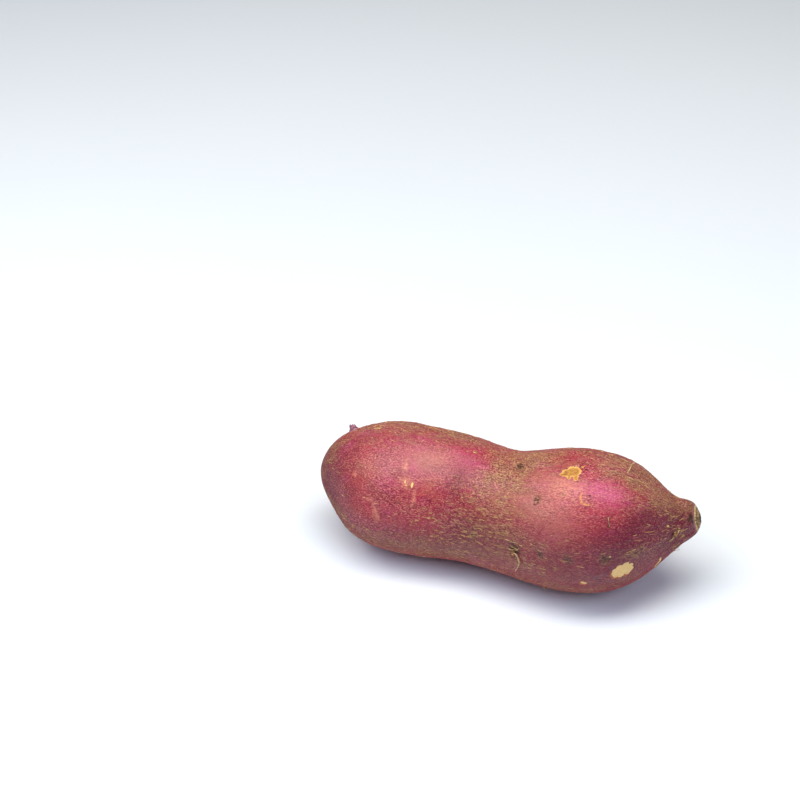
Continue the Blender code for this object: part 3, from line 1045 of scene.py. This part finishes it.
# The skin's patterns: size in millimetres along and across, and a shift that keeps them apart
BROAD_TINTS = (26.0, 18.0, 3.0)
SMALL_TINTS = (10.0, 6.0, 140.0)
SHADES = (13.0, 6.0, 40.0)
GRAZE_CHIPS = (1.6, 1.2, 13.0)
RUSSET_BREAKUP = (11.0, 6.0, 70.0)
GRAIN = (0.8, 0.42, 11.0)
THREADS = (3.0, 0.55, 23.0)
ROUGH_AREAS = (16.0, 10.0, 60.0)
LINES = ((6.0, 1.0, 5.0), (4.4, 0.8, 31.0))
LINE_WIDTH = 0.05
LINE_BREAKS = (2.2, 1.1, 90.0)
EYE_MOTTLE = (1.0, 0.7, 77.0)
SCAR_CHIPS = (0.8, 0.8, 13.0)
FLESH_GRAIN = (1.4, 0.6, 17.0)
PORES = (2.4, 1.8, 55.0)
SMALL_PEBBLES = (1.3, 1.0, 44.0)

# Relief that the skin's material adds, in millimetres
GRAIN_RELIEF = 0.16
PEBBLE_RELIEF = 0.14
LINE_RELIEF = 0.22
PORE_RELIEF = -0.12
DARK_RELIEF = -0.2
FLESH_RELIEF = 0.15

# Gloss of the skin
SMOOTH_ROUGHNESS = 0.27
WORN_ROUGHNESS = 0.4
GRAIN_ROUGHNESS = 0.12
FLESH_ROUGHNESS = 0.7
EDGE_ON_ROUGHNESS = 0.85
SPECULAR = 0.4


def living_skin(nodes, flow):
    """Rose, crimson and purple, in broad patches that run into each other, some of them painted highlight and
    painted shade.
    """
    broad = nodes.pattern(flow, BROAD_TINTS, 3.0)
    colour = nodes.mix(nodes.ramp(broad, 0.42, 0.62), ROSE, CRIMSON_RED)
    colour = nodes.mix(nodes.attribute("crimson"), colour, CRIMSON_RED)
    tint = nodes.pattern(flow, SMALL_TINTS, 4.0, 0.6)
    colour = nodes.mix(nodes.ramp(tint, 0.52, 0.72, 0.0, 0.6), colour, ORANGE_RED)
    colour = nodes.mix(nodes.ramp(tint, 0.48, 0.3, 0.0, 0.5), colour, MAGENTA_AND_HIGHLIGHT)
    shade = nodes.pattern(flow, SHADES, 5.0, 0.6)
    colour = nodes.mix(nodes.ramp(shade, 0.5, 0.74, 0.0, 0.5), colour, DUSK_AND_PAINTED_SHADE)
    # The magenta and tawny patches are partly painted highlight; the dusky ones are painted shade, partly the
    # skin's own duller tone
    for patch, strength, patch_colour in (
        ("magenta_and_highlight", 0.8, MAGENTA_AND_HIGHLIGHT),
        ("tawny_and_highlight", 0.7, TAWNY_PINK_AND_HIGHLIGHT),
        ("dusk_and_painted_shade", 0.9, DUSK_AND_PAINTED_SHADE),
        ("purple", 0.85, DEEP_PURPLE),
    ):
        colour = nodes.mix(nodes.times(nodes.attribute(patch), strength), colour, patch_colour)
    chip = nodes.pattern(flow, GRAZE_CHIPS, 3.0)
    graze = nodes.plus(nodes.attribute("graze"), nodes.times(nodes.math("SUBTRACT", chip, 0.5), 3.0))
    return nodes.mix(nodes.ramp(graze, 1.9, 0.0, 0.0, 0.7), colour, GRAZE)


def russet_share(nodes, flow):
    """How russet the skin is: in broad patches, broken up at their edges, and least where it is crimson."""
    patchy = nodes.pattern(flow, RUSSET_BREAKUP, 5.0, 0.65)
    share = nodes.plus(nodes.attribute("russet"), nodes.ramp(patchy, 0.38, 0.7, -0.35, 0.25))
    return nodes.math("SUBTRACT", share, nodes.times(nodes.attribute("crimson"), 0.35), clamp=True)


def grained_skin(nodes, colour, flow, strokes, worn):
    """Fine dark and pale specks, and brown where the skin is russet. Gives the colour and the grain."""
    grain = nodes.pattern(flow, GRAIN, 2.0, 0.7)
    threads = nodes.pattern(strokes, THREADS, 2.0, 0.6)
    # The pale specks are duller where the skin is purple and where shade is painted
    dim = nodes.math("MAXIMUM", nodes.attribute("dusk_and_painted_shade"), nodes.attribute("purple"))
    # Less grain in the magenta and tawny patches, which hold painted highlight
    calm = nodes.math("MAXIMUM", nodes.attribute("magenta_and_highlight"), nodes.attribute("tawny_and_highlight"))
    rough = nodes.ramp(nodes.pattern(flow, ROUGH_AREAS), 0.4, 0.6, 0.6, 1.0)
    rough = nodes.math("MAXIMUM", worn, rough)
    rough = nodes.times(rough, nodes.ramp(calm, 0.0, 1.0, 1.0, 0.55))
    brown = nodes.mix(nodes.ramp(threads, 0.42, 0.6), RUSSET_BROWN, RUSSET_OLIVE)
    colour = nodes.mix(nodes.times(worn, nodes.ramp(threads, 0.36, 0.6, 0.35, 0.9)), colour, brown)
    dark = nodes.mix(worn, MAROON, RUSSET_DARK)
    pale = nodes.mix(worn, nodes.mix(dim, PINK, DULL_ROSE), nodes.mix(dim, TAN, DULL_TAN))
    colour = nodes.mix(nodes.times(rough, nodes.ramp(threads, 0.5, 0.34, 0.0, 0.6)), colour, dark)
    colour = nodes.mix(nodes.times(rough, nodes.ramp(grain, 0.5, 0.34, 0.0, 0.8)), colour, dark)
    colour = nodes.mix(nodes.times(rough, nodes.ramp(grain, 0.5, 0.66, 0.0, 0.75)), colour, pale)
    return colour, nodes.plus(grain, nodes.times(threads, 0.5))


def skin_lines(nodes, flow, strokes, worn):
    """Where thin raised fibres run, most of them where the skin is fibrous or russet."""
    lines, more = (nodes.lines(nodes.scaled(strokes, *pattern), LINE_WIDTH) for pattern in LINES)
    breaks = nodes.pattern(flow, LINE_BREAKS, 1.0)
    lines = nodes.times(nodes.math("MAXIMUM", lines, more), nodes.ramp(breaks, 0.52, 0.58))
    share = nodes.plus(nodes.times(nodes.attribute("fibrous"), 0.28), nodes.times(worn, 0.24), 0.08)
    return nodes.math("MULTIPLY", lines, share, clamp=True)


def with_eyes(nodes, colour, flow, grain):
    """Mottled brown eyes, dark marks and bruises over the skin. Gives the colour and where it is darkest."""
    eye = nodes.attribute("eye")
    mottle = nodes.pattern(flow, EYE_MOTTLE, 3.0, 0.6)
    ring = nodes.times(nodes.ramp(eye, 0.05, 0.5), nodes.ramp(mottle, 0.38, 0.58, 0.2, 0.85))
    colour = nodes.mix(ring, colour, nodes.mix(nodes.ramp(grain, 0.68, 0.9), RUSSET_DARK, RUSSET_OLIVE))
    pit = nodes.times(nodes.ramp(eye, 0.35, 0.72), nodes.ramp(mottle, 0.47, 0.57))
    dark = nodes.math("MAXIMUM", pit, nodes.ramp(nodes.attribute("dark"), 1.2, 0.7))
    colour = nodes.mix(nodes.ramp(nodes.attribute("bruise"), 1.5, 0.6, 0.0, 0.6), colour, BRUISE)
    return nodes.mix(nodes.times(dark, 0.85), colour, DARK_PIT), dark


def with_scars(nodes, colour, flow):
    """Scars and pale marks over the skin. Gives the colour, where the flesh is bare, and its own relief."""
    chip = nodes.times(nodes.math("SUBTRACT", nodes.pattern(flow, SCAR_CHIPS), 0.5), 0.35)
    gold = nodes.plus(nodes.attribute("gold"), chip)
    cream = nodes.plus(nodes.attribute("cream"), chip)
    flesh = nodes.pattern(flow, FLESH_GRAIN, 4.0, 0.65)
    gold_flesh = nodes.mix(nodes.ramp(flesh, 0.42, 0.64), GOLD, PALE_GOLD)
    core = nodes.times(nodes.ramp(gold, 1.0, 0.6), nodes.ramp(flesh, 0.38, 0.6, 0.4, 1.0))
    gold_flesh = nodes.mix(core, gold_flesh, GOLD_BROWN)
    in_gold = nodes.ramp(gold, 1.08, 0.98)
    colour = nodes.mix(in_gold, colour, gold_flesh)
    cream_flesh = nodes.mix(nodes.ramp(flesh, 0.4, 0.66, 0.05, 0.5), CREAM, GOLD)
    # Painted shade: an orange rim on each cream scar's lower, root-end side
    colour = nodes.mix(nodes.ramp(nodes.attribute("cream_rim_shade"), 1.2, 1.02, 0.0, 0.9), colour, ORANGE_RIM_SHADE)
    in_cream = nodes.ramp(cream, 1.08, 0.98)
    colour = nodes.mix(in_cream, colour, cream_flesh)
    crescent = nodes.ramp(nodes.plus(nodes.attribute("ring"), nodes.times(chip, 6.0)), 1.4, 0.3, 0.0, 0.75)
    colour = nodes.mix(crescent, colour, RING_BROWN)
    fleck = nodes.ramp(nodes.plus(nodes.attribute("fleck"), chip), 1.15, 0.85, 0.0, 0.9)
    colour = nodes.mix(fleck, colour, PALE_GOLD)
    return colour, nodes.math("MAXIMUM", in_gold, in_cream), flesh


def skin_material():
    nodes = Nodes("sweet_potato_skin")
    flow = nodes.attribute("flow", "Vector")
    straight = nodes.attribute("strokes", "Vector")
    strokes = nodes.wander(nodes.wander(straight, 10.0, 8.0, 4.0), 2.6, 2.0, 0.8)
    worn = russet_share(nodes, flow)
    colour, grain = grained_skin(nodes, living_skin(nodes, flow), flow, strokes, worn)
    lines = skin_lines(nodes, flow, strokes, worn)
    colour = nodes.mix(lines, colour, FIBRE_TAN)
    pores = nodes.ramp(nodes.cells(nodes.scaled(flow, *PORES)), 0.2, 0.06, 0.0, 0.5)
    colour = nodes.mix(pores, colour, MAROON)
    colour, dark = with_eyes(nodes, colour, flow, grain)
    colour, bare, flesh = with_scars(nodes, colour, flow)
    colour = nodes.mix(nodes.times(nodes.attribute("edge"), 0.6), colour, LILAC)

    skin_height = nodes.plus(
        nodes.times(grain, GRAIN_RELIEF),
        nodes.times(nodes.pattern(flow, SMALL_PEBBLES, 1.5), PEBBLE_RELIEF),
        nodes.times(lines, LINE_RELIEF),
        nodes.times(pores, PORE_RELIEF),
        nodes.times(dark, DARK_RELIEF),
    )
    nodes.bump(nodes.blend(nodes.times(bare, 0.75), skin_height, nodes.times(flesh, FLESH_RELIEF)))

    roughness = nodes.ramp(worn, 0.0, 1.0, SMOOTH_ROUGHNESS, WORN_ROUGHNESS)
    roughness = nodes.plus(roughness, nodes.times(grain, GRAIN_ROUGHNESS))
    roughness = nodes.blend(bare, roughness, FLESH_ROUGHNESS)
    facing = nodes.add("LayerWeight", {"Blend": 0.5}).outputs["Facing"]
    roughness = nodes.blend(nodes.ramp(facing, 0.3, 0.8), roughness, EDGE_ON_ROUGHNESS)
    nodes.shader.inputs["Specular IOR Level"].default_value = SPECULAR
    return nodes.finish(colour, roughness)


def cut_material():
    """Dried flesh of the cut: a pale fibrous rim, a ring of small vessels and a dark hollow pith."""
    nodes = Nodes("cut_flesh")
    inward = nodes.attribute("inward")
    turn = nodes.attribute("turn", "Vector")
    rays = nodes.noise(nodes.vector("MULTIPLY", turn, (7.0,) * 3), detail=3.0, roughness=0.6)
    speckle = nodes.noise(nodes.vector("MULTIPLY", nodes.place(), (1.6,) * 3), detail=4.0, roughness=0.6)
    colour = nodes.mix(nodes.ramp(rays, 0.38, 0.6), CUT_BROWN, CUT_TAN)
    colour = nodes.mix(nodes.ramp(speckle, 0.45, 0.62), colour, CUT_SPECK)
    ring = nodes.times(nodes.ramp(inward, 0.14, 0.2), nodes.ramp(inward, 0.3, 0.24), 0.6)
    colour = nodes.mix(ring, colour, VESSELS)
    colour = nodes.mix(nodes.ramp(inward, 0.5, 0.8), colour, PITH)
    rim = nodes.times(nodes.ramp(inward, 0.16, 0.02), nodes.ramp(rays, 0.4, 0.56))
    colour = nodes.mix(rim, colour, CREAM)
    nodes.bump(nodes.plus(nodes.times(rays, 0.5), nodes.times(speckle, 0.4)))
    return nodes.finish(colour, nodes.ramp(speckle, 0.3, 0.7, 0.7, 0.9))


def fibre_material(name, dark, pale, grain_size=1.2):
    """Dry fibre, bark or dirt, mottled with grains of this many millimetres."""
    nodes = Nodes(name)
    place = nodes.place()
    mottle = nodes.noise(nodes.vector("DIVIDE", place, (grain_size,) * 3), detail=4.0, roughness=0.65)
    fine = nodes.noise(nodes.vector("DIVIDE", place, (0.25 * grain_size,) * 3), detail=2.0)
    colour = nodes.mix(nodes.ramp(mottle, 0.36, 0.62), dark, pale)
    nodes.bump(nodes.plus(nodes.times(mottle, 0.12), nodes.times(fine, 0.06)))
    return nodes.finish(colour, nodes.ramp(fine, 0.3, 0.7, 0.6, 0.85))


def floor_material():
    nodes = Nodes("pale_floor")
    place = nodes.add("NewGeometry").outputs["Position"]
    blotch = nodes.noise(nodes.vector("MULTIPLY", place, (FLOOR_BLOTCHES,) * 3), detail=2.0)
    return nodes.finish(nodes.mix(blotch, *FLOOR), 0.6)


def link(obj):
    bpy.context.scene.collection.objects.link(obj)
    return obj


def make_floor():
    mesh = bpy.data.meshes.new("floor")
    bm = bmesh.new()
    bmesh.ops.create_grid(bm, x_segments=4, y_segments=4, size=FLOOR_SIZE)
    bm.to_mesh(mesh)
    bm.free()
    mesh.materials.append(floor_material())
    floor = link(bpy.data.objects.new("floor", mesh))
    floor.location.z = -FLOOR_DROP


def make_camera():
    level = math.cos(ELEVATION)
    back = Vector((math.sin(AZIMUTH) * level, -math.cos(AZIMUTH) * level, math.sin(ELEVATION)))
    right = Vector((math.cos(AZIMUTH), math.sin(AZIMUTH), 0.0))
    up = back.cross(right)
    pixel = DISTANCE * SENSOR / LENS / PICTURE
    off_right = (ANCHOR_PIXEL[0] - PICTURE / 2.0) * pixel
    off_down = (ANCHOR_PIXEL[1] - PICTURE / 2.0) * pixel
    data = bpy.data.cameras.new("camera")
    data.lens = LENS
    data.sensor_width = SENSOR
    camera = link(bpy.data.objects.new("camera", data))
    camera.location = ANCHOR - right * off_right + up * off_down + back * DISTANCE
    camera.rotation_euler = back.to_track_quat("Z", "Y").to_euler()
    bpy.context.scene.camera = camera


def area_light(name, location, size, power, colour):
    """A soft light that faces the middle of the floor."""
    data = bpy.data.lights.new(name, "AREA")
    data.shape = "RECTANGLE"
    data.size, data.size_y = size
    data.energy = power
    data.color = colour
    light = link(bpy.data.objects.new(name, data))
    light.location = location
    light.rotation_euler = Vector(location).to_track_quat("Z", "Y").to_euler()
    return light


def make_light():
    """A long soft light overhead and two weak ones from the front, as the photograph's shadow shows."""
    world = bpy.data.worlds.new("studio")
    world.use_nodes = True
    background = world.node_tree.nodes["Background"]
    background.inputs["Color"].default_value = SKY_COLOUR
    background.inputs["Strength"].default_value = SKY_STRENGTH
    bpy.context.scene.world = world
    area_light("overhead", *OVERHEAD)
    for place in FILL_PLACES:
        fill = area_light("front_fill", place, *FILL)
        fill.visible_glossy = False
    bpy.context.scene.view_settings.view_transform = "Standard"


def place_piece(piece):
    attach(piece, "root")
    return piece


def main():
    spine = Spine(SECTIONS)
    make_camera()
    make_light()
    make_floor()
    chance = random.Random(SEED)

    whole = place_piece(link(skin_piece(spine, (skin_material(), cut_material()))))
    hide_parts("tuber")

    bark = fibre_material("root_bark", *BARK)
    straw = fibre_material("rootlet_straw", *STRAW)
    dirt = fibre_material("dry_crumbs", *DIRT, 0.5)
    roots = [broken_root(spine, root, chance) for root in ROOTS]
    place_piece(joined("broken_roots", roots, bark))
    place_piece(joined("stick", [rootlet(spine, STICK)], straw))
    nub = fibre_material("tail_bark", *NUB, 0.9)
    place_piece(joined("tail_nub", [broken_root(spine, TAIL, chance, 20)], nub))
    place_piece(joined("rootlets", [rootlet(spine, row) for row in ROOTLETS], straw))
    thread = fibre_material("skin_thread", *THREAD)
    fibres = []
    while len(fibres) < SKIN_FIBRES:
        fibre = skin_fibre(spine, chance)
        if fibre:
            fibres.append(fibre)
    place_piece(joined("skin_fibres", fibres, thread))
    place_piece(joined("cut_fibres", [cut_fibre(spine, chance) for _ in range(CUT_FIBRES)], straw))
    place_piece(joined("crumbs", [crumb(spine, chance) for _ in range(CRUMBS)], dirt))

    bpy.context.view_layer.update()


main()
